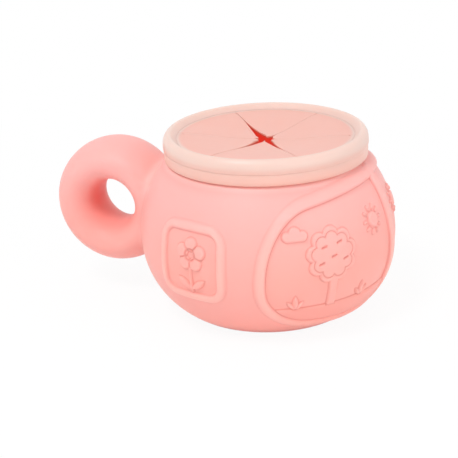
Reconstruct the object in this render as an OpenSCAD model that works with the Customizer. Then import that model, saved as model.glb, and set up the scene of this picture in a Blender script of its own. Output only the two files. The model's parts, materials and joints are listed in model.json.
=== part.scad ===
// Toddler snack cup: a round soft bowl with a fat ring handle and raised garden windows,
// and a stretch-on lid whose flat top is slit into six springy petals.
// +X is the front (opposite the handle), +Z is up, and the base stands on z = 0.

/* [Bowl] */
// Largest outside diameter of the bowl
belly_d = 107.2; // [96:0.2:120]
// Height of the largest diameter above the base
belly_z = 32.9; // [30:0.1:35]
// Radius of the wall's curve below the belly
lower_arc_r = 37.2; // [36:0.1:42]
// Radius of the wall's curve above the belly
upper_arc_r = 48.6; // [44:0.1:54]
// Thickness of the bowl's wall
wall = 2.6; // [1.8:0.1:3.4]
// Thickness of the bowl's floor
floor_t = 3; // [2:0.1:5]
// Height of the shoulder that the lid's skirt stops above
shoulder_z = 65.9; // [60:0.1:66.4]
// Distance from the base's edge to the middle of the ring groove under it
foot_groove_in = 6.8; // [3:0.1:12]
// Width of the ring groove under the base
foot_groove_w = 2; // [1:0.1:3]
// Depth of the ring groove under the base
foot_groove = 0.6; // [0.3:0.1:1.5]

/* [Neck] */
// Width of the shoulder round the foot of the neck
shoulder_w = 1.1; // [0.6:0.1:2.4]
// Thickness of the neck's wall
neck_wall = 2.4; // [1.6:0.1:4]
// Height of the neck above the shoulder
neck_h = 7.35; // [5:0.05:12]
// Rounding of the neck's rim
neck_round = 0.9; // [0.2:0.1:1.1]

/* [Handle] */
// Diameter of the circle along the middle of the ring
ring_d = 37; // [33:0.5:46]
// Distance from the bowl's side to the ring's middle
ring_out = 15.5; // [13:0.1:18]
// Height of the ring's middle
ring_z = 40.3; // [36:0.1:44]
// Thickness of the ring, across its tube
ring_t = 18; // [14:0.2:20]
// Width of the ring, along its finger hole
ring_w = 28; // [22:0.2:34]

/* [Lid] */
// Thickness of the skirt that grips the neck
skirt_t = 2.8; // [2:0.1:4]
// Distance from the neck's bore to the edge of the flat top
top_in = 1.1; // [0.4:0.1:1.6]
// Thickness of the flat top
top_t = 1.2; // [0.8:0.1:1.8]
// Height of the rim above the flat top
rim_rise = 2.15; // [1:0.05:3]
// Rounding of the rim's outer edge
rim_round = 2.3; // [1:0.1:2.6]
// How far the lower half of the skirt steps in
skirt_step = 0.25; // [0.1:0.05:0.6]
// Height of the stepped-in lower half of the skirt
skirt_band = 4.6; // [2:0.1:6]
// Gap between the skirt and the shoulder
skirt_gap = 0.2; // [0.1:0.1:1]
// Clearance between the skirt and the neck
neck_fit = 0.1; // [0.05:0.05:0.3]

/* [Petals] */
// Number of petals in the lid
petal_count = 6; // [5:1:8]
// Distance from the edge of the flat top to the outer end of a slit
slit_in = 1.1; // [0.6:0.1:4]
// Width of a slit
slit_w = 0.5; // [0.3:0.05:1]
// Direction of the first slit, from the front
lid_angle = 12; // [0:1:59]
// How far a petal hangs below level at rest
droop = 4; // [0:0.5:6]
// Distance from the lid's axis to a petal's tip
tip_r = 2.6; // [1.5:0.1:5]
// Length of the flared stretch of a slit, from the lid's axis
flare_r = 9; // [6:0.5:16]
// Clearance between a petal's root and the lid
hinge_gap = 0.05; // [0.03:0.01:0.2]
// How much is trimmed off a petal's two root corners
corner_trim = 0.9; // [0.8:0.1:2]

/* [Windows] */
// Height of the window frames above the wall
frame_h = 1.2; // [0.6:0.1:2]
// How far back a front window reaches, to the middle of its frame
window_angle = 73.4; // [68:0.2:75]
// Height of the front windows' bottom, at the middle of the frame
window_foot = 6.3; // [5.5:0.1:9]
// Distance from the shoulder down to the front windows' top, at the middle of the frame
window_drop = 3.3; // [3.1:0.1:8]
// Width of the front window's frame
front_frame_w = 4.8; // [3:0.1:5.4]
// Width of the pillar between the two front windows
pillar_w = 5.2; // [3:0.1:7]
// Height of the front window's sill above the base
sill_z = 17.6; // [14:0.1:20]
// Height of the sill above the wall
sill_h = 0.7; // [0.3:0.1:1]
// Width of the rear window, over the middle of its frame
rear_window_w = 28.2; // [22:0.2:29]
// Height of the rear window, over the middle of its frame
rear_window_h = 28.4; // [20:0.2:32]
// Height of the rear window's middle above the base
rear_window_z = 36.2; // [34:0.1:38]
// Direction of the rear window, from the front
rear_window_angle = 104.5; // [102:0.5:107]
// Width of the rear window's frame
rear_frame_w = 2.8; // [1.6:0.1:4]
// Corner radius of the rear window, at the middle of its frame
rear_corner_r = 4.4; // [3:0.1:8]

/* [Garden pictures] */
// Height of the pictures above the wall
picture_h = 1; // [0.4:0.1:1.6]
// Width of the fine grooves in the pictures
groove_w = 0.6; // [0.4:0.1:1]
// Direction of the tree, from the front
tree_angle = 41; // [36:1:46]
// Height of the middle of the tree's crown
crown_z = 39; // [37:0.5:42]
// Radius of the tree's crown, without its scallops
crown_r = 8; // [6:0.2:9]
// Number of scallops round the crown
crown_scallops = 9; // [7:1:12]
// Width of the tree's trunk
trunk_w = 4; // [2.5:0.1:6]
// Direction of the sun, from the front
sun_angle = 15; // [13:1:17]
// Height of the sun's middle
sun_z = 47; // [46:0.5:49]
// Radius of the sun
sun_r = 3.2; // [2.5:0.1:4]
// Number of rays round the sun
sun_rays = 10; // [8:1:12]
// Length of the rays
ray_l = 2.2; // [1.5:0.1:3]
// Width of the rays
ray_w = 1.1; // [0.8:0.1:1.4]
// Direction of the cloud, from the front
cloud_angle = 57.5; // [56.5:0.5:58.5]
// Height of the cloud's flat bottom
cloud_z = 46; // [45:0.5:48]
// Length of the cloud's flat bottom
cloud_w = 8.4; // [7:0.2:8.8]
// Height of the flower's middle
flower_z = 40; // [38:0.5:42]
// Radius of one flower petal
flower_petal_r = 2.9; // [2:0.1:3.2]
// Radius of the flower's middle
flower_eye_r = 2; // [1.2:0.1:2.6]
// Gap between the stem's foot and the rear window's frame
stem_gap = 0.4; // [0.2:0.1:3]
// Width of the flower's stem
stem_w = 1.5; // [1:0.1:2.5]
// Length of one leaf
leaf_l = 8; // [5:0.5:9]
// Height of the leaves' foot above the stem's foot
leaf_foot = 1.5; // [1.3:0.1:4]

/* [Hidden] */
$fn = 96;
LEFT = 1;
RIGHT = -1;
eps = 0.01;
far = 300;
belly_r = belly_d / 2;
lower_x = belly_r - lower_arc_r;
upper_x = belly_r - upper_arc_r;
neck_r = bowl_r(shoulder_z) - shoulder_w;
neck_bore_r = neck_r - neck_wall;
neck_top_z = shoulder_z + neck_h;
foot_groove_r = bowl_r(0) - foot_groove_in;
ring_r = ring_d / 2;
ring_x = belly_r + ring_out;
lid_r = neck_r + neck_fit + skirt_t;
top_r = neck_bore_r - top_in;
slit_r = top_r - slit_in;
top_z = neck_top_z + top_t;
rim_z = top_z + rim_rise;
skirt_z = shoulder_z + skirt_gap;
petal_angle = 360 / petal_count;
half_angle = petal_angle / 2;
hinge_r = slit_r * cos(half_angle);
hinge_z = neck_top_z + top_t / 2;
window_top = shoulder_z - window_drop;
curve_steps = 9;
// Direction from which a front window is drawn, halfway round it.
front_view = 38;

// Middle of a front window's frame, from its bottom front corner to its top front corner,
// as cubic curves of [share of the way back, share of the way up].
front_curves = [
    [[0, 0], [0.29, -0.004], [0.55, 0.009], [0.684, 0.03]],
    [[0.684, 0.03], [0.866, 0.059], [0.999, 0.172], [1, 0.368]],
    [[1, 0.368], [1.003, 0.616], [0.925, 0.9], [0.681, 0.945]],
    [[0.681, 0.945], [0.495, 0.979], [0.262, 1.004], [0, 1]]
];

// Outside radius of the bowl at a height.
function bowl_r(z) = z < belly_z
    ? lower_x + sqrt(pow(lower_arc_r, 2) - pow(belly_z - z, 2))
    : upper_x + sqrt(pow(upper_arc_r, 2) - pow(z - belly_z, 2));

// A point on a cubic curve of four control points, and the curve's direction there.
function curve_point(c, t) = pow(1 - t, 3) * c[0] + 3 * pow(1 - t, 2) * t * c[1]
    + 3 * (1 - t) * pow(t, 2) * c[2] + pow(t, 3) * c[3];
function curve_way(c, t) = pow(1 - t, 2) * (c[1] - c[0]) + 2 * (1 - t) * t * (c[2] - c[1])
    + pow(t, 2) * (c[3] - c[2]);

// A front window's corner point as [length back along the belly, height].
function on_wall(p) = [p[0] * window_angle * PI / 180 * belly_r,
    window_foot + p[1] * (window_top - window_foot)];
function side_step(c, t, out) = let (way = curve_way(c, t))
    curve_point(c, t) + out * [way[1], -way[0]] / norm(way);

// That point as seen square on from the direction front_view.
function seen(p) = let (back = p[0] / belly_r * 180 / PI)
    [bowl_r(p[1]) * sin(back - front_view), p[1]];

// Half profile of the bowl's outside, grown by "out".
module bowl_half(out = 0) {
    intersection() {
        union() {
            translate([lower_x, belly_z]) circle(lower_arc_r + out);
            square([lower_x, belly_z]);
        }
        square([belly_r + out, belly_z]);
    }
    intersection() {
        translate([upper_x, belly_z]) circle(upper_arc_r + out);
        translate([0, belly_z]) square([belly_r + out, shoulder_z - belly_z]);
    }
}

module bowl_form(out = 0) {
    rotate_extrude() bowl_half(out);
}

module neck_half() {
    edge = neck_r - neck_round;
    bore_edge = neck_bore_r + neck_round;
    translate([neck_bore_r, shoulder_z - wall])
        square([neck_wall, neck_h + wall - neck_round]);
    translate([bore_edge, neck_top_z - 2 * neck_round])
        square([edge - bore_edge, 2 * neck_round]);
    translate([edge, neck_top_z - neck_round]) circle(neck_round);
    translate([bore_edge, neck_top_z - neck_round]) circle(neck_round);
}

module bowl() {
    color("#ffb6ac") rotate_extrude() {
        difference() {
            bowl_half();
            intersection() {
                bowl_half(-wall);
                translate([0, floor_t]) square([belly_r, shoulder_z]);
            }
            translate([0, shoulder_z - 2 * wall]) square([neck_bore_r, 3 * wall]);
            translate([foot_groove_r - foot_groove_w / 2, -foot_groove])
                square([foot_groove_w, 2 * foot_groove]);
        }
        neck_half();
    }
}

// Section of the ring: two round sides joined by flat faces.
module ring_section() {
    side_y = (ring_w - ring_t) / 2;
    translate([ring_r, 0]) {
        square([ring_t, 2 * side_y], center = true);
        for (side = [-1, 1]) translate([0, side * side_y]) circle(ring_t / 2);
    }
}

module handle() {
    color("#fcb3a8") difference() {
        translate([-ring_x, 0, ring_z]) rotate([90, 0, 180]) rotate_extrude() ring_section();
        bowl_form();
    }
}

// A flat drawing, seen square on from "turn", raised on the bowl's wall.
module raised(turn, height) {
    intersection() {
        difference() {
            bowl_form(height);
            bowl_form();
        }
        rotate([0, 0, turn]) rotate([90, 0, 90]) linear_extrude(height = far) children();
    }
}

module front_pillar() {
    foot_z = window_foot - front_frame_w / 2;
    color("#ffbcb2") raised(0, frame_h) translate([-pillar_w / 2, foot_z])
        square([pillar_w, window_top + front_frame_w / 2 - foot_z]);
}

// A front window's outline, moved out from the middle of its frame and open to the front.
module window_shape(out) {
    wall_curves = [for (c = front_curves) [for (p = c) on_wall(p)]];
    line = [
        for (c = wall_curves) for (i = [0 : curve_steps - 1]) side_step(c, i / curve_steps, out),
        side_step(wall_curves[3], 1, out)
    ];
    polygon(concat([for (p = line) seen(p)],
        [[-far, window_top + out], [-far, window_foot - out]]));
}

// One front window: its frame, and the sill across the bottom. side is LEFT or RIGHT.
module front_window(side) {
    color("#ffbcb2") mirror([0, side == RIGHT ? 1 : 0, 0]) difference() {
        union() {
            raised(front_view, frame_h) difference() {
                window_shape(front_frame_w / 2);
                window_shape(-front_frame_w / 2);
            }
            raised(front_view, sill_h) intersection() {
                window_shape(0);
                translate([-far, 0]) square([2 * far, sill_z]);
            }
        }
        translate([-far, pillar_w / 2 - 2 * far, -far]) cube(2 * far);
    }
}

module rounded_square(w, h, r) {
    square([w - 2 * r, h], center = true);
    square([w, h - 2 * r], center = true);
    for (x = [-1, 1]) for (y = [-1, 1])
        translate([x * (w / 2 - r), y * (h / 2 - r)]) circle(r);
}

module rear_window(side) {
    half = rear_frame_w / 2;
    color("#ffbcb2") raised(side * rear_window_angle, frame_h)
        translate([0, rear_window_z]) difference() {
            rounded_square(rear_window_w + rear_frame_w, rear_window_h + rear_frame_w,
                rear_corner_r + half);
            rounded_square(rear_window_w - rear_frame_w, rear_window_h - rear_frame_w,
                rear_corner_r - half);
        }
}

module front_window_right() { front_window(RIGHT); }
module front_window_left() { front_window(LEFT); }
module rear_window_right() { rear_window(RIGHT); }
module rear_window_left() { rear_window(LEFT); }

// A round-headed groove line from one point to another.
module stroke(a, b) {
    way = b - a;
    translate(a) circle(groove_w / 2, $fn = 24);
    translate(b) circle(groove_w / 2, $fn = 24);
    translate(a) rotate(atan2(way[1], way[0])) translate([0, -groove_w / 2])
        square([norm(way), groove_w]);
}

module tree_drawing() {
    scallop_r = crown_r * sin(180 / crown_scallops) * 1.25;
    difference() {
        translate([0, crown_z]) {
            circle(crown_r);
            for (i = [0 : crown_scallops - 1])
                rotate(90 + i * 360 / crown_scallops) translate([crown_r, 0]) circle(scallop_r);
        }
        for (p = [[-3.6, 3.4], [3.2, 4.4], [0.4, -0.6], [-5.2, -3], [5.6, -2.4]])
            translate([p[0], crown_z + p[1]]) stroke([-0.9, 0], [0.9, 0.5]);
    }
    translate([-trunk_w / 2, sill_z]) square([trunk_w, crown_z - crown_r - sill_z]);
}

module tree(side) {
    color("#ffbfb5") raised(side * tree_angle, picture_h) tree_drawing();
}

module tree_right() { tree(RIGHT); }
module tree_left() { tree(LEFT); }

module sun(side) {
    color("#ffbfb5") raised(side * sun_angle, picture_h) translate([0, sun_z]) {
        circle(sun_r);
        for (i = [0 : sun_rays - 1]) rotate(i * 360 / sun_rays)
            translate([sun_r + groove_w, -ray_w / 2]) square([ray_l, ray_w]);
    }
}

module sun_right() { sun(RIGHT); }
module sun_left() { sun(LEFT); }

module cloud(side) {
    puff = cloud_w / 4;
    color("#ffbfb5") raised(side * cloud_angle, picture_h) translate([0, cloud_z + puff]) {
        translate([-cloud_w / 2 + puff / 2, -puff]) square([cloud_w - puff, puff]);
        translate([-cloud_w / 2 + puff / 2, 0]) circle(puff);
        translate([0, puff * 0.6]) circle(puff * 1.2);
        translate([cloud_w / 2 - puff / 2, 0]) circle(puff);
    }
}

module cloud_right() { cloud(RIGHT); }
module cloud_left() { cloud(LEFT); }

module flower_drawing() {
    ring = flower_eye_r + flower_petal_r * 0.75;
    foot_z = rear_window_z - (rear_window_h - rear_frame_w) / 2 + stem_gap - flower_z;
    leaf_arc = leaf_l * 0.75;
    leaf_side = sqrt(pow(leaf_arc, 2) - pow(leaf_l / 2, 2));
    difference() {
        for (i = [0 : 4]) rotate(90 + i * 72) translate([ring, 0]) circle(flower_petal_r);
        circle(flower_eye_r + groove_w);
    }
    circle(flower_eye_r);
    translate([-stem_w / 2, foot_z]) square([stem_w, -ring - foot_z]);
    for (side = [0, 1]) translate([0, foot_z + leaf_foot]) mirror([side, 0]) rotate(35)
        intersection() {
            translate([leaf_l / 2, leaf_side]) circle(leaf_arc);
            translate([leaf_l / 2, -leaf_side]) circle(leaf_arc);
        }
}

module flower(side) {
    color("#ffbfb5") raised(side * rear_window_angle, picture_h)
        translate([0, flower_z]) flower_drawing();
}

module flower_right() { flower(RIGHT); }
module flower_left() { flower(LEFT); }

module lid_half() {
    bore_r = neck_r + neck_fit;
    band_z = skirt_z + skirt_band;
    round_x = lid_r - rim_round;
    // skirt
    translate([bore_r, skirt_z]) square([lid_r - skirt_step - bore_r, skirt_band]);
    translate([bore_r, band_z]) square([lid_r - bore_r, rim_z - rim_round - band_z]);
    // rim
    translate([neck_bore_r, neck_top_z]) square([round_x - neck_bore_r, top_t]);
    translate([top_r + rim_rise, top_z]) square([round_x - top_r - rim_rise, rim_rise]);
    translate([round_x, rim_z - rim_round]) intersection() {
        circle(rim_round);
        square(rim_round);
    }
    translate([top_r + rim_rise, top_z]) intersection() {
        circle(rim_rise);
        translate([-rim_rise, 0]) square(rim_rise);
    }
}

module lid_rim() {
    mouth_r = (hinge_r + top_t / 2 + hinge_gap) / cos(half_angle);
    color("#f8d7cd") {
        rotate_extrude() lid_half();
        translate([0, 0, neck_top_z]) rotate(lid_angle) linear_extrude(height = top_t)
            difference() {
                circle(neck_bore_r + eps);
                polygon([for (i = [0 : petal_count - 1])
                    mouth_r * [cos(i * petal_angle), sin(i * petal_angle)]]);
            }
    }
}

// One petal, pointing along +X from the lid's axis to its root, and level.
module petal_plate() {
    flare = flare_r * [cos(half_angle), sin(half_angle)]
        + slit_w / 2 * [sin(half_angle), -cos(half_angle)];
    root_y = hinge_r * tan(half_angle) - slit_w / 2 / cos(half_angle);
    side = [[tip_r, 0], flare,
        [hinge_r - corner_trim, root_y - corner_trim * tan(half_angle)],
        [hinge_r, root_y - corner_trim]];
    linear_extrude(height = top_t)
        polygon(concat(side, [for (i = [len(side) - 1 : -1 : 1]) [side[i][0], -side[i][1]]]));
    translate([hinge_r, 0, top_t / 2]) rotate([90, 0, 0])
        cylinder(h = 2 * (root_y - corner_trim), r = top_t / 2, center = true);
}

module petal(number) {
    color("#f6c9bd") translate([0, 0, hinge_z]) rotate(lid_angle + (number - 0.5) * petal_angle)
        translate([hinge_r, 0, 0]) rotate([0, -droop, 0]) translate([-hinge_r, 0, -top_t / 2])
        petal_plate();
}

module petal_1() { petal(1); }
module petal_2() { petal(2); }
module petal_3() { petal(3); }
module petal_4() { petal(4); }
module petal_5() { petal(5); }
module petal_6() { petal(6); }

bowl();
handle();
front_pillar();
front_window_right();
front_window_left();
rear_window_right();
rear_window_left();
tree_right();
tree_left();
sun_right();
sun_left();
cloud_right();
cloud_left();
flower_right();
flower_left();
lid_rim();
petal_1();
petal_2();
petal_3();
petal_4();
petal_5();
petal_6();
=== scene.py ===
import json
import math

import bmesh
import bpy
import numpy as np
from mathutils import Matrix, Vector

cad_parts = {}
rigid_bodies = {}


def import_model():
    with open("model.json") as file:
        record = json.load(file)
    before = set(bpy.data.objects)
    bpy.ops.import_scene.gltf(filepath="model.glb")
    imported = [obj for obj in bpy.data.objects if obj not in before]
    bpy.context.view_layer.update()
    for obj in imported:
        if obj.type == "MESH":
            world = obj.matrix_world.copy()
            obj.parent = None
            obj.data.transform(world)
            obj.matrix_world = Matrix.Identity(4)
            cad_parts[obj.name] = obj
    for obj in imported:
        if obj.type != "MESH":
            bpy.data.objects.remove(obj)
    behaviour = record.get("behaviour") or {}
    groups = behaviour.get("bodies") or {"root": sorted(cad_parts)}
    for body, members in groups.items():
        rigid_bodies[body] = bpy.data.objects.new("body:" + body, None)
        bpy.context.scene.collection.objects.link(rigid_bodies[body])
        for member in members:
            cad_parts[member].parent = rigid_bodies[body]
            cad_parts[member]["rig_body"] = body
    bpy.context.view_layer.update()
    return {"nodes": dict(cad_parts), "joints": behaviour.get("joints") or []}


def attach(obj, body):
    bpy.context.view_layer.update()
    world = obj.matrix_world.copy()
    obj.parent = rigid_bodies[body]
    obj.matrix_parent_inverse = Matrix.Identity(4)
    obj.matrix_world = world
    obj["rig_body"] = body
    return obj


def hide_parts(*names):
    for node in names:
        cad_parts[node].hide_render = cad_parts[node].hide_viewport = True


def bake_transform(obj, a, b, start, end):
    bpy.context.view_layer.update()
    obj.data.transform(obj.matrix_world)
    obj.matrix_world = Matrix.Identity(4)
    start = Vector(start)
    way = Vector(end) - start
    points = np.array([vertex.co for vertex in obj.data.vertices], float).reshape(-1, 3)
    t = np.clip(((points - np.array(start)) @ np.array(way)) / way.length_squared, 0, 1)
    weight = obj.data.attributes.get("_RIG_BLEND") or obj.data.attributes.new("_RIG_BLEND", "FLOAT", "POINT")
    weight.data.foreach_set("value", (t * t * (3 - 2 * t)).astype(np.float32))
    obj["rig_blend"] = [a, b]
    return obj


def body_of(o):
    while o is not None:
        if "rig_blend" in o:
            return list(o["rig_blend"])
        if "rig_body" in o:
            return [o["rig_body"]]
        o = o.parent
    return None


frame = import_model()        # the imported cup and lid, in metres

for name in ("Cube", "Light", "Camera"):        # what an unset Blender starts with
    if name in bpy.data.objects and name not in frame["nodes"]:
        bpy.data.objects.remove(bpy.data.objects[name])
mm = 0.001
print("frame loaded:", len(frame["nodes"]), "solids")


# Camera
camera = {
    "azimuth": 22.949,        # degrees round Z from looking along +Y
    "elevation": 20.997,
    "roll": 2.438,
    "distance": 585.7 * mm,
    "aim": (-14.61 * mm, -8.15 * mm, 33.93 * mm),
    "lens": 109.2,
}


def addCamera():
    azimuth, elevation, roll = (math.radians(camera[k]) for k in ("azimuth", "elevation", "roll"))
    right = Vector((math.cos(azimuth), math.sin(azimuth), 0))
    back = Vector((math.sin(azimuth) * math.cos(elevation),
                   -math.cos(azimuth) * math.cos(elevation), math.sin(elevation)))
    up = back.cross(right)
    rolledRight = right * math.cos(roll) - up * math.sin(roll)
    rolledUp = right * math.sin(roll) + up * math.cos(roll)
    turn = Matrix((rolledRight, rolledUp, back)).transposed()
    data = bpy.data.cameras.new("view")
    data.lens = camera["lens"]
    data.clip_start = 10 * mm
    eye = bpy.data.objects.new("view", data)
    spot = Vector(camera["aim"]) + back * camera["distance"]
    eye.matrix_world = Matrix.Translation(spot) @ turn.to_4x4()
    bpy.context.scene.collection.objects.link(eye)
    bpy.context.scene.camera = eye


addCamera()


# Shader maths
class Wire:        # one node's output, used like a number
    def __init__(self, paint, socket):
        self.paint = paint
        self.socket = socket

    def __add__(self, other):
        return self.paint.maths("ADD", self, other)

    def __sub__(self, other):
        return self.paint.maths("SUBTRACT", self, other)

    def __rsub__(self, other):
        return self.paint.maths("SUBTRACT", other, self)

    def __mul__(self, other):
        return self.paint.maths("MULTIPLY", self, other)

    __radd__ = __add__
    __rmul__ = __mul__


class Paint:        # a material, or the world, built node by node
    def __init__(self, owner):
        owner.use_nodes = True
        self.tree = owner.node_tree
        self.tree.nodes.clear()

    def add(self, kind, settings={}, sockets={}, output=0):
        node = self.tree.nodes.new(kind)
        for name, value in settings.items():
            setattr(node, name, value)
        for name, value in sockets.items():
            if isinstance(value, Wire):
                self.tree.links.new(value.socket, node.inputs[name])
            else:
                node.inputs[name].default_value = value
        return Wire(self, node.outputs[output]) if node.outputs else None

    def maths(self, operation, first, second=0):
        return self.add("ShaderNodeMath", {"operation": operation}, {0: first, 1: second})

    def blend(self, amount, first, second):
        return self.add("ShaderNodeMix", {"data_type": "RGBA"}, {0: amount, 6: first, 7: second}, 2)

    def attribute(self, name):
        return self.add("ShaderNodeAttribute", {"attribute_name": name}, output=2)

    def noise(self, place, scale, detail=3):
        return self.add("ShaderNodeTexNoise", {}, {"Vector": place, "Scale": scale, "Detail": detail})

    def ramp(self, value, low, high, first=0, last=1):        # from first at low to last at high
        ends = {"From Min": low, "From Max": high, "To Min": first, "To Max": last}
        smooth = {"interpolation_type": "SMOOTHSTEP"}
        return self.add("ShaderNodeMapRange", smooth, {"Value": value, **ends})

    def place(self):
        return self.add("ShaderNodeTexCoord", output=3)


def shade(red, green, blue):        # a screen colour, 0 to 255, as a shader colour
    return tuple(c / 12.92 if c < 0.04045 else ((c + 0.055) / 1.055) ** 2.4
                 for c in (red / 255, green / 255, blue / 255)) + (1,)


# Materials
silicone = {
    "body": shade(252, 173, 164),
    "cloud": shade(254, 181, 172),        # faint uneven patches
    "raised": shade(254, 187, 176),        # painted highlight on the tops of the frames and pictures
    "panel": shade(252, 174, 163),        # ground inside the windows
    "creaseShade": shade(222, 126, 115),        # painted shade in lines along the bottoms of the raised edges
    "paintedLight": shade(255, 189, 182),        # painted light where the handle meets the shoulder, and in the gap under the lid's edge
    "deep": shade(245, 114, 104),        # painted shade inside the finger hole
    "topLight": shade(253, 183, 179),        # painted light, paler toward the neck
    "foot": shade(248, 155, 139),        # painted shade, darker near the base
    "contactShadow": shade(214, 92, 86),        # painted contact shadow where it meets the floor
    "inside": shade(242, 158, 148),
    "glow": shade(138, 44, 33),        # light through the wall, inside the cup
    # A colour, the height where it starts, the height where it is full, and how strong it is there.
    "bands": (("topLight", 28 * mm, 62 * mm, 0.7), ("foot", 20 * mm, 0, 0.65), ("contactShadow", 5 * mm, 0, 0.95)),
    "glowFades": ((0, 52 * mm), (72 * mm, 58 * mm)),        # weaker deep down, and near the mouth
    "glowLeast": 0.3,
    "clouding": 0.35,
    "cloudScale": 45,
    "rough": 0.46,
    "roughScale": 260,
    "grain": 0.12,
    "gloss": 0.35,
    "soft": 0.2,        # how much light spreads under the skin, how deep, and its colour
    "softDepth": 3 * mm,
    "softColour": (1, 0.4, 0.3),
}
lidRubber = {
    "rim": shade(234, 205, 194),
    "petal": shade(238, 176, 162),
    "skirt": shade(245, 193, 179),        # where the cup's colour shows through
    "cloud": shade(235, 194, 184),
    # painted shade in the lid's creases, on the slit sides and under the hem
    "creaseShade": shade(214, 114, 92),
    "clouding": 0.3,
    "cloudScale": 60,
    "rough": 0.36,
    "roughScale": 300,
    "grain": 0.08,
    "gloss": 0.4,
    "soft": 0.4,
    "softDepth": 4 * mm,
    "softColour": (1, 0.75, 0.65),
}
moulding = {"scale": 2600, "deep": 0.05 * mm, "roughRange": 0.1}        # fine skin of both silicones


def rubberSurface(paint, place, look, body, glow={}):
    fine = paint.noise(place, moulding["scale"], 2)
    grain = paint.add("ShaderNodeBump", {}, {"Strength": look["grain"], "Distance": moulding["deep"],
                                             "Height": fine})
    spread = moulding["roughRange"]
    rough = paint.noise(place, look["roughScale"]) * spread + (look["rough"] - spread / 2)
    surface = paint.add("ShaderNodeBsdfPrincipled", {}, {
        "Base Color": body, "Roughness": rough, "Normal": grain,
        "Specular IOR Level": look["gloss"], "Subsurface Weight": look["soft"],
        "Subsurface Scale": look["softDepth"], "Subsurface Radius": look["softColour"], **glow})
    paint.add("ShaderNodeOutputMaterial", {}, {"Surface": surface})


def siliconeMaterial():
    look = silicone
    material = bpy.data.materials.new("cup_silicone")
    paint = Paint(material)
    place = paint.place()
    height = paint.add("ShaderNodeSeparateXYZ", {}, {0: place}, 2)
    cloudy = paint.noise(place, look["cloudScale"]) * look["clouding"]
    body = paint.blend(cloudy, look["body"], look["cloud"])
    body = paint.blend(paint.attribute("panel"), body, look["panel"])
    # painted highlight on the crests of the frames and pictures
    body = paint.blend(paint.attribute("rise"), body, look["raised"])
    # painted light toward the neck, painted shade toward the base, and a painted contact shadow at the floor
    for name, start, full, share in look["bands"]:
        body = paint.blend(paint.ramp(height, start, full, 0, share), body, look[name])
    # painted light where the handle meets the shoulder, painted shade in the finger hole and along the
    # creases
    for name in ("paintedLight", "deep", "creaseShade"):
        body = paint.blend(paint.attribute(name), body, look[name])
    inside = paint.attribute("inside")
    body = paint.blend(inside, body, look["inside"])
    for start, full in look["glowFades"]:
        inside = inside * paint.ramp(height, start, full, look["glowLeast"])
    glow = paint.blend(inside, (0, 0, 0, 1), look["glow"])
    rubberSurface(paint, place, look, body, {"Emission Color": glow, "Emission Strength": 1})
    return material


def lidMaterial():
    look = lidRubber
    material = bpy.data.materials.new("lid_silicone")
    paint = Paint(material)
    place = paint.place()
    body = paint.blend(paint.attribute("membrane"), look["rim"], look["petal"])
    body = paint.blend(paint.attribute("skirt"), body, look["skirt"])
    cloudy = paint.noise(place, look["cloudScale"]) * look["clouding"]
    body = paint.blend(cloudy, body, look["cloud"])
    # painted shade in the creases
    body = paint.blend(paint.attribute("creaseShade"), body, look["creaseShade"])
    rubberSurface(paint, place, look, body)
    return material


cupSkin = siliconeMaterial()
lidSkin = lidMaterial()
print("materials made")


# Mesh helpers
def finish(name, mesh, material, body, nodes):        # smooth, named, and riding on its body
    data = bpy.data.meshes.new(name)
    mesh.to_mesh(data)
    mesh.free()
    for face in data.polygons:
        face.use_smooth = True
    data.materials.append(material)
    piece = bpy.data.objects.new(name, data)
    bpy.context.scene.collection.objects.link(piece)
    if body:
        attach(piece, body)
    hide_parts(*nodes)
    print("made", name, "-", len(data.polygons), "faces")
    return piece


def places(mesh):
    return np.array([v.co for v in mesh.verts])


def putBack(mesh, points):
    for vertex, point in zip(mesh.verts, points):
        vertex.co = point


def addValues(piece, name, values):        # a value for each vertex, read by the material
    layer = piece.data.attributes.new(name, "FLOAT", "POINT")
    layer.data.foreach_set("value", np.asarray(values, np.float32))


def turned(outline, columns, closed=False):        # an outline of (radius, height) spun round Z
    mesh = bmesh.new()
    verts = [mesh.verts.new((r, 0, z)) for r, z in outline]
    pairs = list(zip(verts, verts[1:])) + ([(verts[-1], verts[0])] if closed else [])
    edges = [mesh.edges.new(pair) for pair in pairs]
    bmesh.ops.spin(mesh, geom=verts + edges, cent=(0, 0, 0), axis=(0, 0, 1), angle=2 * math.pi,
                   steps=columns, use_merge=True)
    bmesh.ops.remove_doubles(mesh, verts=mesh.verts, dist=0.001 * mm)
    bmesh.ops.recalc_face_normals(mesh, faces=mesh.faces)
    return mesh


def arc(middle, radius, first, last, rowLength):        # points along an arc, angles in radians
    steps = max(2, math.ceil(radius * abs(last - first) / rowLength))
    return [(middle[0] + radius * math.cos(a), middle[1] + radius * math.sin(a))
            for a in np.linspace(first, last, steps + 1)]


def softCorner(before, corner, after, steps=4):        # a corner rounded off by a curve
    b, c, a = np.array(before), np.array(corner), np.array(after)
    return [tuple((1 - t) ** 2 * b + 2 * (1 - t) * t * c + t * t * a)
            for t in np.linspace(0, 1, steps + 1)]


def swell(t):        # 0 to 1, rounded over at the top
    return np.sin(np.clip(t, 0, 1) * math.pi / 2)


def fade(t):        # 0 to 1, soft at both ends
    t = np.clip(t, 0, 1)
    return t * t * (3 - 2 * t)


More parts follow.
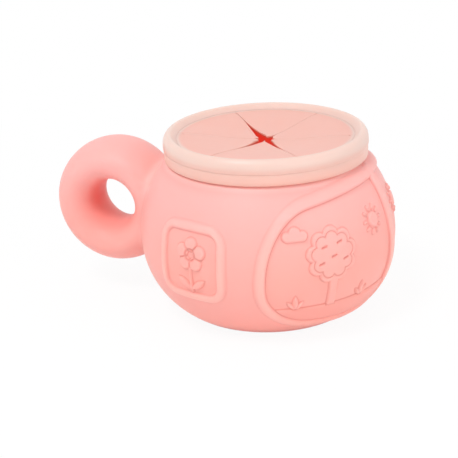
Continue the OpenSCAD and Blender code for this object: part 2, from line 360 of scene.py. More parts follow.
# Bowl
bowl = {
    "bellyR": 53.6 * mm,
    "bellyZ": 32.9 * mm,
    "lowerArc": 37.2 * mm,        # curve of the wall under the belly
    "upperArc": 48.6 * mm,        # and over it
    "wall": 2.6 * mm,
    "floor": 3 * mm,
    "shoulderZ": 65.9 * mm,
    "shoulder": 1.1 * mm,        # ledge round the foot of the neck
    "lidReach": 2.8 * mm,        # how far the lid's edge stands out from the neck
    "neckWall": 2.4 * mm,
    "neckTopZ": 73.25 * mm,
    "lipRound": 0.9 * mm,
    "footRound": 2.6 * mm,
    "grooveIn": 6.8 * mm,        # ring groove under the base
    "grooveWide": 2 * mm,
    "grooveDeep": 0.6 * mm,
    "columns": 270,
    "row": 1.25 * mm,
    "insideRow": 4 * mm,
    "refineAt": (1.9 * mm, 0.75 * mm),        # faces this near an edge of the relief are halved
    "contact": (0.2, 1.5 * mm),        # shade beside the lid's edge: how dark, how wide
    "underLid": 0.4 * mm,        # the lid's edge hides the shoulder from here in, and painted light lifts the shade there
    "shoulderFrom": (60 * mm, 2 * mm),        # where that shade starts, over what height
}
settleSteps = 6        # times a wall is pushed halfway to its raised place
lowerX = bowl["bellyR"] - bowl["lowerArc"]
upperX = bowl["bellyR"] - bowl["upperArc"]
baseAngle = -math.asin(bowl["bellyZ"] / bowl["lowerArc"])
baseR = lowerX + bowl["lowerArc"] * math.cos(baseAngle)
footAngle = baseAngle + bowl["footRound"] / bowl["lowerArc"]
footTopZ = bowl["bellyZ"] + bowl["lowerArc"] * math.sin(footAngle)
shoulderAngle = math.asin((bowl["shoulderZ"] - bowl["bellyZ"]) / bowl["upperArc"])
neckR = upperX + bowl["upperArc"] * math.cos(shoulderAngle) - bowl["shoulder"]
boreR = neckR - bowl["neckWall"]


def wallDistance(points):        # how far a point lies outside the bowl's wall, and the way out
    radius = np.hypot(points[:, 0], points[:, 1])
    size = np.where(points[:, 2] < bowl["bellyZ"], bowl["lowerArc"], bowl["upperArc"])
    outward = radius - (bowl["bellyR"] - size)
    upward = points[:, 2] - bowl["bellyZ"]
    reach = np.maximum(np.hypot(outward, upward), 1e-9)
    flat = outward / reach / np.maximum(radius, 1e-9)
    return reach - size, np.stack([points[:, 0] * flat, points[:, 1] * flat, upward / reach], 1)


def bowlOutline():
    middle, wall, row = (lowerX, bowl["bellyZ"]), bowl["wall"], bowl["row"]
    over = (upperX, bowl["bellyZ"])
    grooveR = baseR - bowl["grooveIn"]
    half, deep = bowl["grooveWide"] / 2, bowl["grooveDeep"]
    outline = [(0, 0), (grooveR / 2, 0), (grooveR - half - 0.2 * mm, 0), (grooveR - half, deep / 2),
               (grooveR - half / 2, deep), (grooveR + half / 2, deep), (grooveR + half, deep / 2),
               (grooveR + half + 0.2 * mm, 0)]
    wallArc = arc(middle, bowl["lowerArc"], footAngle, 0, row)
    outline += softCorner((baseR - bowl["footRound"], 0), (baseR, 0), wallArc[0])[:-1] + wallArc[:-1]
    outline += arc(over, bowl["upperArc"], 0, shoulderAngle, row)
    top, lip = bowl["neckTopZ"], bowl["lipRound"]
    outline += [(neckR + 0.2 * mm, bowl["shoulderZ"]), (neckR, bowl["shoulderZ"] + 0.2 * mm)]
    outline += softCorner((neckR, top - lip), (neckR, top), (neckR - lip, top))
    outline += softCorner((boreR + lip, top), (boreR, top), (boreR, top - lip))
    inArc = bowl["upperArc"] - wall
    joinAngle = math.acos((boreR - upperX) / inArc)
    floorAngle = math.asin((bowl["floor"] - bowl["bellyZ"]) / (bowl["lowerArc"] - wall))
    outline += arc(over, inArc, joinAngle, 0, bowl["insideRow"])
    outline += arc(middle, bowl["lowerArc"] - wall, 0, floorAngle, bowl["insideRow"])[1:]
    return outline + [(baseR / 2, bowl["floor"]), (0, bowl["floor"])]


# Relief on the bowl
windows = {
    "height": 1.2 * mm,
    "edge": 1.0 * mm,        # width of the steep inner edge
    "panel": 0.25 * mm,        # how far the window's ground lies under the wall
    "frontAngle": math.radians(73.4),
    "frontFoot": 6.3 * mm,
    "frontTop": 62.6 * mm,
    "frontWide": 4.8 * mm,
    "crest": 1.9 * mm,        # the top of a frame lies this far out from its inner edge
    "pillar": 5.2 * mm,
    "pillarFoot": (3.9 * mm, 2 * mm),        # where it starts, over what height
    "pillarTop": (65.4 * mm, 1.4 * mm),
    "sillZ": 17.6 * mm,
    "sillHeight": 0.7 * mm,
    "rearAngle": 104.5,
    "rearWide": 26.3 * mm,
    "rearShift": 0.95 * mm,        # toward the handle
    "rearHigh": 27.3 * mm,
    "rearZ": 35.3 * mm,
    "rearFrame": 3.7 * mm,
    "rearBulge": 1.1 * mm,        # its front side and top curve outward
    "rearReach": 14 * mm,        # over this distance from its middle
    "rearInset": 1.4 * mm,
    "rearCorner": 4.9 * mm,
    "ease": 0.3 * mm,        # width over which a ground drops
    # Painted shade: dark lines along the relief's edges, and a darker band over the sill.
    "line": 0.2 * mm,        # half the width of a painted shade line at an edge
    "frontOuter": (0.3, 0.4 * mm),        # the painted shade line outside a frame: how dark, half its width
    "rearOuter": (0.3, 0.35 * mm),
    "rearInner": 0.55,
    "sillShade": 0.22,
    "lineShade": 0.75,        # how dark all painted shade lines are
    "crestSharp": 1.5,        # how much the painted highlight keeps to the top of a frame
    "softEdge": 0.8 * mm,        # outer edges need fewer faces by this much
    # Middle of a front window's frame: cubic curves of (share of the way back, share of the way up).
    "frontCurves": [
        [(0, 0), (0.29, -0.004), (0.55, 0.009), (0.684, 0.03)],
        [(0.684, 0.03), (0.866, 0.059), (0.999, 0.172), (1, 0.368)],
        [(1, 0.368), (1.003, 0.616), (0.925, 0.9), (0.681, 0.945)],
        [(0.681, 0.945), (0.495, 0.979), (0.262, 1.004), (0, 1)],
    ],
}
pictures = {
    "height": 1.0 * mm,
    "edge": 0.65 * mm,
    "groove": 0.6 * mm,
    "line": (0.65, 0.05 * mm, 0.2 * mm),        # painted shade line round a picture: how dark, how far out, half its width
    # how dark the painted shade lines in the tree's and flower's marks are
    "marksLine": 0.55,
    "marksDeep": 0.8,
    "topHighlight": 0.4,        # how much of the painted highlight they get
    "treeAngle": 41, "crownZ": 39 * mm, "crownR": 8 * mm, "scallops": 9, "trunk": 4 * mm,
    "innerCrown": 0.81,        # a second scalloped line inside the crown's edge
    "innerLine": 0.06 * mm,        # half its width
    # Short strokes in the crown, mm from its middle.
    "strokes": [(-3.6, 3.4), (3.2, 4.4), (0.4, -0.6), (-5.2, -3), (5.6, -2.4)],
    "stroke": 1.2 * mm,        # half its length
    "strokeTurn": 0.27,
    "sunAngle": 15, "sunZ": 47 * mm, "sunR": 3.2 * mm,
    "rays": 10, "ray": 2.2 * mm, "rayWide": 1.1 * mm,
    "cloudAngle": 57.5, "cloudZ": 46 * mm, "cloudWide": 8.4 * mm,
    "flowerZ": 40 * mm, "flowerDrop": 0.8 * mm, "petals": 5, "petalR": 2.9 * mm, "eyeR": 2 * mm,
    "petalLine": (1.4 * mm, 0.2 * mm),        # half the length and width of the lines between petals
    "stemWide": 1.5 * mm, "stemGap": 0.4 * mm, "leaf": 8 * mm, "leafFoot": 1.5 * mm,
    "grassAngles": (58, 24), "blade": 6 * mm,
}


def frontLine():
    w = windows
    scale = np.array([w["frontAngle"] * bowl["bellyR"], w["frontTop"] - w["frontFoot"]])
    line = []
    for curve in w["frontCurves"]:
        a, b, c, d = (np.array(p) * scale + (0, w["frontFoot"]) for p in curve)
        for t in np.linspace(0, 1, 40)[:-1]:
            back = 1 - t
            line.append(back ** 3 * a + 3 * back ** 2 * t * b + 3 * back * t * t * c + t ** 3 * d)
    return line + [d]


def lineDistance(points, line):        # signed, positive on the right of the line
    nearest = np.full(len(points), 1.0)
    signed = np.full(len(points), 1.0)
    for a, b in zip(line, line[1:]):
        way, off = b - a, points - a
        t = np.clip(off @ way / (way @ way), 0, 1)
        gap = np.hypot(*(off - t[:, None] * way).T)
        closer = gap < nearest
        side = way[1] * off[:, 0] - way[0] * off[:, 1]
        nearest[closer] = gap[closer]
        signed[closer] = (np.sign(side) * gap)[closer]
    return signed


def circleDistance(x, y, cx, cy, r):
    return np.hypot(x - cx, y - cy) - r


def boxDistance(x, y, cx, cy, halfWide, halfHigh, corner=0, turn=0):
    dx, dy = x - cx, y - cy
    x, y = dx * math.cos(turn) + dy * math.sin(turn), dy * math.cos(turn) - dx * math.sin(turn)
    qx, qy = np.abs(x) - halfWide + corner, np.abs(y) - halfHigh + corner
    return np.hypot(np.maximum(qx, 0), np.maximum(qy, 0)) + np.minimum(np.maximum(qx, qy), 0) - corner


def squareOn(points, degrees):        # sideways and up, seen square on from a direction
    a = math.radians(degrees)
    sideways = points[:, 1] * math.cos(a) - points[:, 0] * math.sin(a)
    facing = points[:, 0] * math.cos(a) + points[:, 1] * math.sin(a) > 0
    return np.where(facing, sideways, 1.0), points[:, 2]


def crownDistance(x, y):
    p = pictures
    scallopR = p["crownR"] * math.sin(math.pi / p["scallops"]) * 1.25
    shape = circleDistance(x, y, 0, p["crownZ"], p["crownR"])
    for i in range(p["scallops"]):
        a = math.pi / 2 + i * 2 * math.pi / p["scallops"]
        cx, cy = p["crownR"] * math.cos(a), p["crownZ"] + p["crownR"] * math.sin(a)
        shape = np.minimum(shape, circleDistance(x, y, cx, cy, scallopR))
    return shape


def treeDistance(x, y):
    p = pictures
    low, high = windows["sillZ"] - 0.5 * mm, p["crownZ"] - p["crownR"]
    trunk = boxDistance(x, y, 0, (low + high) / 2, p["trunk"] / 2, (high - low) / 2)
    return np.minimum(crownDistance(x, y), trunk)


def treeMarks(x, y):
    p = pictures
    half, share, middle = p["groove"] / 2, p["innerCrown"], p["crownZ"]
    marks = np.full(len(x), 1.0)
    for mx, my in p["strokes"]:
        mark = boxDistance(x, y, mx * mm, middle + (my + 0.25) * mm, p["stroke"], half, half,
                           p["strokeTurn"])
        marks = np.minimum(marks, mark)
    line = crownDistance(x / share, (y - middle) / share + middle) * share
    return np.minimum(marks, np.abs(line) - p["innerLine"])


def leafDistance(x, y, long, turn):        # a pointed leaf that starts at 0, 0
    bow = long * 0.75
    rise = math.sqrt(bow ** 2 - (long / 2) ** 2)
    x, y = x * math.cos(turn) + y * math.sin(turn), y * math.cos(turn) - x * math.sin(turn)
    return np.maximum(circleDistance(x, y, long / 2, rise, bow),
                      circleDistance(x, y, long / 2, -rise, bow))


def grassDistance(x, y):
    y = y - windows["sillZ"] + 0.4 * mm
    shape = leafDistance(np.abs(x), y, pictures["blade"] * 0.85, math.radians(48))
    return np.minimum(shape, leafDistance(x, y, pictures["blade"] * 1.1, math.radians(90)))


def sunDistance(x, y):
    p = pictures
    shape = circleDistance(x, y, 0, p["sunZ"], p["sunR"])
    reach = p["sunR"] + p["groove"] + p["ray"] / 2
    for i in range(p["rays"]):
        a = i * 2 * math.pi / p["rays"]
        ray = boxDistance(x, y, reach * math.cos(a), p["sunZ"] + reach * math.sin(a),
                          p["ray"] / 2, p["rayWide"] / 2, 0.3 * mm, a)
        shape = np.minimum(shape, ray)
    return shape


def cloudDistance(x, y):
    wide = pictures["cloudWide"]
    puff = wide / 4
    z = pictures["cloudZ"] + puff
    shape = boxDistance(x, y, 0, z - puff / 2, (wide - puff) / 2, puff / 2)
    for cx, cy, r in ((-wide / 2 + puff / 2, z, puff), (0, z + puff * 0.6, puff * 1.2),
                      (wide / 2 - puff / 2, z, puff)):
        shape = np.minimum(shape, circleDistance(x, y, cx, cy, r))
    return shape


def flowerDistance(x, y):
    p = pictures
    ring = p["eyeR"] + p["petalR"] * 0.75
    footZ = windows["rearZ"] - (windows["rearHigh"] - windows["rearFrame"]) / 2 + p["stemGap"]
    shape = np.full(len(x), 1.0)
    for i in range(p["petals"]):
        a = math.pi / 2 + i * 2 * math.pi / p["petals"]
        cx, cy = ring * math.cos(a), p["flowerZ"] + ring * math.sin(a)
        shape = np.minimum(shape, circleDistance(x, y, cx, cy, p["petalR"]))
    stemTop = p["flowerZ"] - ring
    stem = boxDistance(x, y, 0, (footZ + stemTop) / 2, p["stemWide"] / 2, (stemTop - footZ) / 2)
    leaf = leafDistance(np.abs(x), y - footZ - p["leafFoot"], p["leaf"], math.radians(35))
    return np.minimum(shape, np.minimum(stem, leaf))


def flowerMarks(x, y):        # the ring round the eye, and the lines between the petals
    p = pictures
    gap = p["eyeR"] + p["groove"] / 2
    marks = np.abs(circleDistance(x, y, 0, p["flowerZ"], gap)) - p["groove"] / 2
    long, wide = p["petalLine"]
    far = gap + long
    for i in range(p["petals"]):
        a = -math.pi / 2 + i * 2 * math.pi / p["petals"]
        mark = boxDistance(x, y, far * math.cos(a), p["flowerZ"] + far * math.sin(a), long, wide, 0, a)
        marks = np.minimum(marks, mark)
    return marks


def beadRise(inward, wide):        # a frame across its width: steep inside, then a low crown
    w = windows
    out = np.clip((inward - w["crest"]) / (wide - w["crest"]), 0, 1)
    return swell(inward / w["edge"]) * (1 - out ** 2)


def lineDark(gap, wide):        # darkness of a line, 1 in its middle
    return np.exp(-(gap / wide) ** 2)


def rearGap(x, y):        # distance to the middle of a rear window's frame
    w = windows
    reach = w["rearReach"]
    sideBulge = np.clip(x / reach, 0, 1.2) * np.clip(1 - (y / reach) ** 2, -0.4, 1)
    topBulge = np.clip(y / reach, 0, 1.2) * np.clip(1 - (x / reach) ** 2, -0.4, 1)
    return boxDistance(x - w["rearBulge"] * sideBulge, y - 0.7 * w["rearBulge"] * topBulge, 0, 0,
                       w["rearWide"] / 2, w["rearHigh"] / 2, w["rearCorner"])


def reliefAt(points):        # height over the wall, painted crease shade, panel, rise (which also sets the painted highlight), and gap to the nearest edge
    w, p = windows, pictures
    z = points[:, 2]
    side = np.where(points[:, 1] < 0, -1, 1)
    along = np.abs(np.arctan2(points[:, 1], points[:, 0])) * bowl["bellyR"]
    inner = lineDistance(np.stack([along, z], 1), frontLine()) + w["frontWide"] / 2
    pillar = np.where(points[:, 0] > 0, w["pillar"] / 2 - np.abs(points[:, 1]), -1.0)
    (footZ, footOver), (endZ, endOver) = w["pillarFoot"], w["pillarTop"]
    pillarEnds = fade((z - footZ) / footOver) * fade((endZ - z) / endOver)
    rise = np.maximum(beadRise(inner, w["frontWide"]), swell(pillar / w["edge"]) * pillarEnds)
    rim = np.maximum(inner, pillar)
    sill = (w["sillZ"] - z) / w["edge"]
    panel = fade(-rim / w["ease"])
    ground = w["sillHeight"] * swell(sill) - w["panel"] * (1 - swell(sill))
    height = w["height"] * rise + panel * ground
    dark, wide = w["frontOuter"]
    shadeLines = [lineDark(rim, w["line"]), dark * lineDark(inner - w["frontWide"], wide),
             lineDark(sill * w["edge"], w["line"]) * (rim < 0), w["sillShade"] * swell(sill) * panel]
    edges = [np.abs(rim), np.where(rim < 0, np.abs(sill * w["edge"]), 1.0),
             np.abs(inner - w["frontWide"]) + w["softEdge"]]
    for front in (-1, 1):        # rear windows
        x, y = squareOn(points, front * w["rearAngle"])
        inner = rearGap(-front * x + w["rearShift"], y - w["rearZ"]) + w["rearInset"]
        height += w["height"] * beadRise(inner, w["rearFrame"])
        rise = np.maximum(rise, beadRise(inner, w["rearFrame"]))
        ground = fade(-inner / w["ease"])
        height -= w["panel"] * ground
        panel = np.maximum(panel, ground)
        outer = inner - w["rearFrame"]
        dark, wide = w["rearOuter"]
        shadeLines += [w["rearInner"] * lineDark(inner, w["line"]), dark * lineDark(outer, wide)]
        edges += [np.abs(inner), np.abs(outer) + w["softEdge"]]
    drawings = [(p["treeAngle"], treeDistance, treeMarks), (p["sunAngle"], sunDistance, None),
                (p["cloudAngle"], cloudDistance, None), (w["rearAngle"], flowerDistance, flowerMarks)]
    drawings += [(angle, grassDistance, None) for angle in p["grassAngles"]]
    dark, out, wide = p["line"]
    for angle, drawing, marks in drawings:
        x, y = squareOn(points, angle)
        mirrored, _ = squareOn(points, -angle)
        x = np.where(side > 0, x, mirrored)
        if drawing is flowerDistance:
            y = y + p["flowerDrop"]
        shape = drawing(x, y)
        picture = swell(-shape / p["edge"])
        edges.append(np.abs(shape))
        shadeLines.append(dark * lineDark(shape - out, wide))
        if marks:
            mark = marks(x, y)
            picture *= 1 - p["marksDeep"] * fade(0.5 - mark / p["groove"])
            edges.append(np.where(shape < 0, np.abs(mark), 1.0))
            shadeLines.append(np.where(shape < 0, p["marksLine"] * lineDark(np.maximum(mark, 0), wide), 0))
        height += p["height"] * picture
        rise = np.maximum(rise, p["topHighlight"] * picture)
    return height, np.max(shadeLines, 0), panel, rise, np.min(edges, 0)


# Where the handle runs
handle = {
    "middle": (-69.1 * mm, 0, 40.3 * mm),
    "ringR": 18.5 * mm,        # along the middle of the tube
    "thick": 9 * mm,        # half the tube, across the ring
    "wide": 14.7 * mm,        # half the tube, along the finger hole
    "fillet": 4.6 * mm,
    "sink": 1.3 * mm,        # depth of its hidden back in the bowl's wall
    "around": 168,
    "across": 84,
    "refineAt": (5 * mm, 3 * mm),        # faces this near the bowl's wall are halved, in turn
    "paintedLight": (10 * mm, 5 * mm, 8 * mm),        # painted light at the joint: half its width, height over the middle, growing over
    "deep": (1.5 * mm, 8.5 * mm),        # painted shade in the finger hole: from the tube's middle line in, over what distance
    "deepAcross": (2 * mm, 11 * mm),        # half the width that is fully shaded, then fading over
    "litBelow": 0.85,        # paler below, where light falls in
}


def ringDistance(points):        # close to the distance outside the oval tube
    x, y, z = (points - handle["middle"]).T
    off = np.hypot(x, z) - handle["ringR"]
    a, b = handle["thick"], handle["wide"]
    near = np.maximum(np.hypot(off / a, y / b), 1e-9)
    return near * (near - 1) / np.maximum(np.hypot(off / a ** 2, y / b ** 2), 1e-9)


def slope(distance, points):
    step = 0.02 * mm
    return np.stack([(distance(points + axis) - distance(points - axis)) / (2 * step)
                     for axis in np.eye(3) * step], 1)


def fillet(gap):        # how far one surface rises where it nears the other, and dips past it
    size = handle["fillet"]
    past = np.maximum(size / 4 - gap, 0)
    rising = (math.sqrt(size) - np.sqrt(np.clip(gap, size / 4, size))) ** 2
    return np.maximum(rising + past - 3 * past ** 2 / size, 0)


def jointLight(points):        # painted light where the handle and the bowl meet, near the shoulder
    wide, start, over = handle["paintedLight"]
    gap = np.maximum(np.abs(wallDistance(points)[0]), np.abs(ringDistance(points)))
    return lineDark(gap, wide) * fade((points[:, 2] - handle["middle"][2] - start) / over)


def refine(mesh, reach):        # halve the faces that lie near an edge of the relief
    faces = [f for f in mesh.faces if f.calc_center_median().length > 0]
    middles = np.array([f.calc_center_median() for f in faces])
    away, _ = wallDistance(middles)
    onWall = (np.abs(away) < 0.2 * mm) & (middles[:, 2] > footTopZ)
    onWall &= middles[:, 2] < bowl["shoulderZ"]
    near = np.zeros(len(faces), bool)
    near[onWall] = reliefAt(middles[onWall])[-1] < reach
    near[onWall] |= np.abs(ringDistance(middles[onWall]) - 1.5 * mm) < 2 * reach
    edges = {edge for face, chosen in zip(faces, near) if chosen for edge in face.edges}
    bmesh.ops.subdivide_edges(mesh, edges=list(edges), cuts=1, use_grid_fill=True)


def makeBowl():
    mesh = turned(bowlOutline(), bowl["columns"])
    for reach in bowl["refineAt"]:
        refine(mesh, reach)
    points = places(mesh)
    away, outward = wallDistance(points)
    onWall = (np.abs(away) < 0.2 * mm) & (points[:, 2] > footTopZ - 0.01 * mm)
    onWall &= points[:, 2] < bowl["shoulderZ"] + 0.01 * mm
    height, creaseShade, panel, rise, _ = (values * onWall for values in reliefAt(points))
    wall = points - outward * away[:, None]
    for _ in range(settleSteps):
        raised = wall + outward * (height + fillet(ringDistance(points)))[:, None]
        points = np.where(onWall[:, None], (points + raised) / 2, points)
    radius = np.hypot(points[:, 0], points[:, 1])
    inside = (away < -0.5 * bowl["wall"]) | (radius < boreR + 0.1 * mm)
    inside &= points[:, 2] > 0.5 * bowl["floor"]
    # Painted contact shade on the shoulder just past the lid's edge, and painted light in the shaded gap
    # under it.
    beyond = radius - neckR - bowl["lidReach"]        # past the lid's edge, on the shoulder
    (startZ, over), (dark, wide) = bowl["shoulderFrom"], bowl["contact"]
    shoulder = onWall * fade((points[:, 2] - startZ) / over)
    shaded = np.maximum(creaseShade, dark * shoulder * lineDark(beyond, wide))
    creaseShade = np.where(beyond < 0, creaseShade, shaded)
    paintedLight = np.maximum(jointLight(points) * onWall, shoulder * fade(-beyond / bowl["underLid"]))
    putBack(mesh, points)
    mesh.normal_update()
    nodes = [n for n in frame["nodes"] if body_of(frame["nodes"][n]) == ["cup"] and n != "handle"]
    piece = finish("bowl_skin", mesh, cupSkin, "cup", nodes)
    # Painted highlight on the crests, painted shade in the creases and beside the lid, painted light at the
    # joint and under the lid's edge.
    addValues(piece, "rise", rise ** windows["crestSharp"])
    addValues(piece, "creaseShade", creaseShade * windows["lineShade"])
    addValues(piece, "panel", panel * (1 - rise))
    addValues(piece, "paintedLight", paintedLight)
    addValues(piece, "inside", inside)


makeBowl()


# Handle
def makeHandle():
    h = handle
    mesh = bmesh.new()
    bmesh.ops.create_circle(mesh, segments=h["across"], radius=1)
    bmesh.ops.scale(mesh, vec=(h["thick"], h["wide"], 1), verts=mesh.verts)
    bmesh.ops.translate(mesh, vec=Vector(h["middle"]) + Vector((h["ringR"], 0, 0)), verts=mesh.verts)
    bmesh.ops.spin(mesh, geom=mesh.verts[:] + mesh.edges[:], cent=h["middle"], axis=(0, 1, 0),
                   angle=2 * math.pi, steps=h["around"], use_merge=True)
    bmesh.ops.remove_doubles(mesh, verts=mesh.verts, dist=0.001 * mm)
    bmesh.ops.recalc_face_normals(mesh, faces=mesh.faces)
    for reach in h["refineAt"]:
        faces = mesh.faces[:]
        gaps = wallDistance(np.array([f.calc_center_median() for f in faces]))[0]
        edges = {e for f, gap in zip(faces, gaps) if -2.6 * reach < gap < reach for e in f.edges}
        bmesh.ops.subdivide_edges(mesh, edges=list(edges), cuts=1, use_grid_fill=True)
    points = places(mesh)
    for _ in range(2):        # new vertices go onto the oval tube
        points = points - ringDistance(points)[:, None] * slope(ringDistance, points)
    depth = -wallDistance(points)[0]
    deep = holeShade(points)
    tube, way = points, slope(ringDistance, points)
    for _ in range(settleSteps):
        points = (points + tube + way * fillet(wallDistance(points)[0])[:, None]) / 2
    gap, outward = wallDistance(points)        # what is inside the bowl's wall is laid flat
    points = points - outward * np.minimum(gap + h["sink"], 0)[:, None]
    putBack(mesh, points)
    mesh.normal_update()
    piece = finish("handle_skin", mesh, cupSkin, "cup", ["handle"])
    # Painted shade in the finger hole, and painted light at the joint with the bowl.
    addValues(piece, "deep", deep)
    addValues(piece, "paintedLight", jointLight(points))


def holeShade(points):        # painted shade in the finger hole: 0 outside it, 1 at the middle of its wall
    h = handle
    x, y, z = (points - h["middle"]).T
    (start, over), (flat, fading) = h["deep"], h["deepAcross"]
    inward = fade((h["ringR"] - start - np.hypot(x, z)) / over)
    lit = 1 - h["litBelow"] * np.clip(-z / h["ringR"] * 2, 0, 1)
    return inward * lit * (1 - fade((np.abs(y) - flat) / fading))


makeHandle()


# Lid
lid = {
    "angle": 12,        # direction of the first slit, degrees
    "petals": 6,
    "fit": 0.1 * mm,
    "skirt": 2.8 * mm,
    "skirtZ": 66.1 * mm,
    "bandZ": 70.7 * mm,        # the lower half of the skirt steps in
    "step": 0.25 * mm,
    "rimZ": 76.6 * mm,
    "rimRound": (2.7 * mm, 4 * mm),        # across, down
    "slope": 3.4 * mm,        # the rim's gentle inner side
    "top": 1.2 * mm,
    "topIn": 1.1 * mm,
    "slitIn": 1.1 * mm,
    "slitHole": 0.9 * mm,        # round hole at a slit's outer end
    "tips": (3.5, 4.3, 4.1, 3.4, 2.1, 3.2),        # how far each petal stops short of the middle, mm
    "tipRound": 1 * mm,
    # Each slit from the lid's angle round: half its gap, how far it gapes, how much. mm
    "slits": ((0.07, 6, 0.5), (0.02, 9, 2.2), (0.12, 30, 2.8),
              (0.05, 6, 0.5), (0.1, 23, 2.4), (0.12, 26, 1.8)),
    "sag": 2 * mm,        # how far the middle hangs
    "columns": 256,
    "petalGrid": (46, 30),        # faces along and across a petal
    "edgeRound": 0.18 * mm,
    "bend": (1.3 * mm, 1.6 * mm),        # how far outside and inside its hinge a petal bends
    # Painted shade lines: how dark, how far from their edge, half their width.
    "rimFoldShade": (0.3, 0.5 * mm, 0.3 * mm),
    "bandShade": (0.14, 1.1 * mm, 0.9 * mm),
    "hems": ((0.12, 0.6 * mm, 0.9 * mm), (0.15, 0.2 * mm, 0.4 * mm)),
    "rimTone": 0.2,        # how much of the petals' colour the rim's inner side has
}
topZ = bowl["neckTopZ"] + lid["top"]
topR = boreR - lid["topIn"]
lidR = neckR + lid["fit"] + lid["skirt"]
slitR = topR - lid["slitIn"]


def lidOutline():
    l = lid
    inR, lowR, footZ, neckZ = neckR + l["fit"], lidR - l["step"], l["skirtZ"], bowl["neckTopZ"]
    riseR = l["rimZ"] - topZ        # the rim's inner rounding
    outline = softCorner((inR + 0.4 * mm, footZ), (inR, footZ), (inR, footZ + 0.4 * mm), 2)
    outline += [(inR, neckZ), (topR + 0.5 * mm, neckZ), (topR + 0.5 * mm, topZ - 0.3 * mm)]
    for t in np.linspace(0.08, 1, 8):
        z = topZ - 0.1 * mm + (riseR + 0.1 * mm) * fade(t)
        outline.append((topR + 0.3 * mm + t * l["slope"], z))
    across, down = l["rimRound"]
    for a in np.linspace(math.pi / 2, 0, 10):
        outline.append((lidR - across * (1 - math.cos(a)), l["rimZ"] - down * (1 - math.sin(a))))
    outline += [(lidR, (l["rimZ"] - down + l["bandZ"]) / 2), (lidR, l["bandZ"] + 0.5 * mm)]
    outline += [(lidR - 0.05 * mm, l["bandZ"] + 0.2 * mm), (lowR - 0.12 * mm, l["bandZ"]),
                (lowR, l["bandZ"] - 0.25 * mm)]
    outline += [(lowR, z) for z in np.linspace(l["bandZ"] - 0.25 * mm, footZ + 0.6 * mm, 4)[1:]]
    outline += softCorner((lowR, footZ + 0.5 * mm), (lowR, footZ), (lowR - 0.5 * mm, footZ), 3)
    return outline


def makeLidRing():
    mesh = turned(lidOutline(), lid["columns"], closed=True)
    points = places(mesh)
    radius = np.hypot(points[:, 0], points[:, 1])
    mesh.normal_update()
    piece = finish("lid_ring", mesh, lidSkin, "lid", ["lid_rim"])
    z = points[:, 2]
    outer = radius > lidR - 1.2 * mm
    inward = fade((lidR - lid["rimRound"][0] - radius) / lid["slope"]) * (z > topZ - 0.3 * mm)
    addValues(piece, "membrane", lid["rimTone"] * inward)
    addValues(piece, "skirt", outer * fade((topZ - z) / (6 * mm)))
    # Painted shade under the skirt's step, in the fold round the top, and under the hem.
    dark, off, wide = lid["bandShade"]
    creaseShade = outer * dark * lineDark(z - lid["bandZ"] - off, wide)
    dark, off, wide = lid["rimFoldShade"]
    creaseShade += dark * (z > topZ - 0.5 * mm) * lineDark(radius - topR - off, wide)
    for dark, off, wide in lid["hems"]:
        creaseShade += dark * lineDark(z - lid["skirtZ"] - off, wide)
    addValues(piece, "creaseShade", creaseShade)


def sagAt(radius):        # how far the top hangs at this distance from its middle
    return lid["sag"] * fade((slitR - radius) / slitR * 1.3)


def makePetal(number):        # one sixth of the flat top, from its tip to the rim
    l = lid
    rows, across = l["petalGrid"]
    sector = math.pi / l["petals"]
    mesh = bmesh.new()
    bmesh.ops.create_grid(mesh, x_segments=rows, y_segments=across, size=1)
    points = places(mesh)
    inward = (1 - points[:, 0]) / 2        # 0 at the rim to 1 at the tip
    sideways = points[:, 1]        # -1 to 1
    tip = l["tips"][number - 1] * mm + l["tipRound"] * (sideways ** 2 - 0.3)
    radius = (topR + 0.8 * mm) * (1 - inward) + tip * inward
    sides = [np.array(l["slits"][k % l["petals"]])[:, None] * mm for k in (number - 1, number)]
    half, reach, flare = np.where(sideways < 0, *sides)
    gap = np.where(radius < slitR, half, 0) + flare * np.clip(1 - radius / reach, 0, 1) ** 2
    hole = l["slitHole"] / 2
    gap = np.maximum(gap, np.sqrt(np.clip(hole ** 2 - (radius - slitR + hole) ** 2, 0, None)))
    half = sector - np.arcsin(np.clip(gap / radius, 0, 0.4))
    angle = math.radians(l["angle"]) + (2 * number - 1) * sector + sideways * half
    height = topZ - sagAt(radius)
    points = np.stack([radius * np.cos(angle), radius * np.sin(angle), height], 1)
    putBack(mesh, points)
    bmesh.ops.recalc_face_normals(mesh, faces=mesh.faces)
    if mesh.faces[:][0].normal.z < 0:
        bmesh.ops.reverse_faces(mesh, faces=mesh.faces)
    lower = bmesh.ops.extrude_face_region(mesh, geom=mesh.faces[:])
    bmesh.ops.translate(mesh, vec=(0, 0, -l["top"]),
                        verts=[v for v in lower["geom"] if isinstance(v, bmesh.types.BMVert)])
    bmesh.ops.recalc_face_normals(mesh, faces=mesh.faces)
    rims = [e for e in mesh.edges if e.calc_face_angle(0) > 1]
    bmesh.ops.bevel(mesh, geom=rims, offset=l["edgeRound"], offset_type="OFFSET", segments=2,
                    profile=0.5, affect="EDGES", material=-1)
    bmesh.ops.recalc_face_normals(mesh, faces=mesh.faces)
    node = f"petal_{number}"
    piece = finish(f"{node}_skin", mesh, lidSkin, None, [node])
    values = np.array([v.co for v in piece.data.vertices])
    reach = np.hypot(values[:, 0], values[:, 1])
    addValues(piece, "membrane", l["rimTone"] + (1 - l["rimTone"]) * fade((topR - reach) / (1 * mm)))
    surface = topZ - sagAt(reach)
    # Painted shade on the cut sides of the slits.
    addValues(piece, "creaseShade", fade((surface - values[:, 2]) / l["top"]) * (reach < slitR))
    joint = next(j for j in frame["joints"] if j["child"] == node)
    pivot = Vector(joint["pos_m"])
    outward = Vector((pivot.x, pivot.y, 0)).normalized()
    before, after = l["bend"]
    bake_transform(piece, "lid", node, start=pivot + outward * before, end=pivot - outward * after)


makeLidRing()
for number in range(1, lid["petals"] + 1):
    makePetal(number)


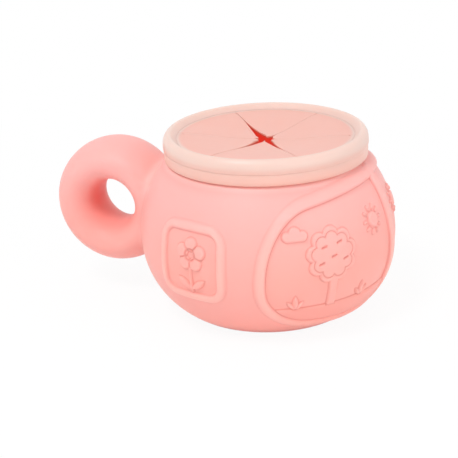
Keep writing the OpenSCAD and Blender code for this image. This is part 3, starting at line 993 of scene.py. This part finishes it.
# Floor and light
studio = {
    "floor": 4.0,
    "paper": (0.97, 0.97, 0.97, 1),
    "shadow": 0.07,        # how much of the floor's shading the camera sees
    "shadowFades": (0.11, 0.32),        # from this far from the middle, to none at this far
    "sky": 0.74,
    "key": (5.4, (-0.2, -0.6, 1.1), 0.35),        # watts, place, size
    "fill": (1.9, (0.95, -0.35, 0.35), 0.7),
}


def whiteToCamera(paint, seen, lit, share):        # the camera and reflections see white
    kinds = ("Is Camera Ray", "Is Glossy Ray", "Is Transmission Ray")
    eye, gloss, clear = (paint.add("ShaderNodeLightPath", output=kind) for kind in kinds)
    direct = paint.maths("MINIMUM", eye + gloss + clear, 1) * share
    return paint.add("ShaderNodeMixShader", {}, {0: direct, 1: lit, 2: seen})


def makeFloor():
    mesh = bmesh.new()
    bmesh.ops.create_grid(mesh, x_segments=1, y_segments=1, size=studio["floor"] / 2)
    bmesh.ops.translate(mesh, vec=(0, 0, -0.05 * mm), verts=mesh.verts)
    data = bpy.data.meshes.new("floor")
    mesh.to_mesh(data)
    mesh.free()
    material = bpy.data.materials.new("floor_paper")
    paint = Paint(material)
    white = paint.add("ShaderNodeEmission", {}, {"Color": (1, 1, 1, 1), "Strength": 1})
    paper = paint.add("ShaderNodeBsdfDiffuse", {}, {"Color": studio["paper"]})
    far = paint.add("ShaderNodeVectorMath", {"operation": "LENGTH"}, {0: paint.place()}, 1)
    shadow = paint.ramp(far, *studio["shadowFades"], studio["shadow"], 0)
    mixed = whiteToCamera(paint, white, paper, 1 - shadow)
    paint.add("ShaderNodeOutputMaterial", {}, {"Surface": mixed})
    data.materials.append(material)
    floor = bpy.data.objects.new("floor", data)
    bpy.context.scene.collection.objects.link(floor)


def makeSky():
    world = bpy.data.worlds.new("studio")
    bpy.context.scene.world = world
    paint = Paint(world)
    white = paint.add("ShaderNodeBackground", {}, {"Color": (1, 1, 1, 1), "Strength": 1})
    soft = paint.add("ShaderNodeBackground", {}, {"Color": (1, 1, 1, 1), "Strength": studio["sky"]})
    paint.add("ShaderNodeOutputWorld", {}, {"Surface": whiteToCamera(paint, white, soft, 1)})


def makeLamp(name):
    watts, spot, size = studio[name]
    data = bpy.data.lights.new(name, "AREA")
    data.energy = watts
    data.shape = "DISK"
    data.size = size
    lamp = bpy.data.objects.new(name, data)
    lamp.location = spot
    lamp.rotation_euler = (Vector(spot) - Vector((0, 0, 0.04))).to_track_quat("Z", "Y").to_euler()
    bpy.context.scene.collection.objects.link(lamp)


makeFloor()
makeSky()
for name in ("key", "fill"):
    makeLamp(name)
bpy.context.scene.view_settings.view_transform = "Standard"
print("studio set")
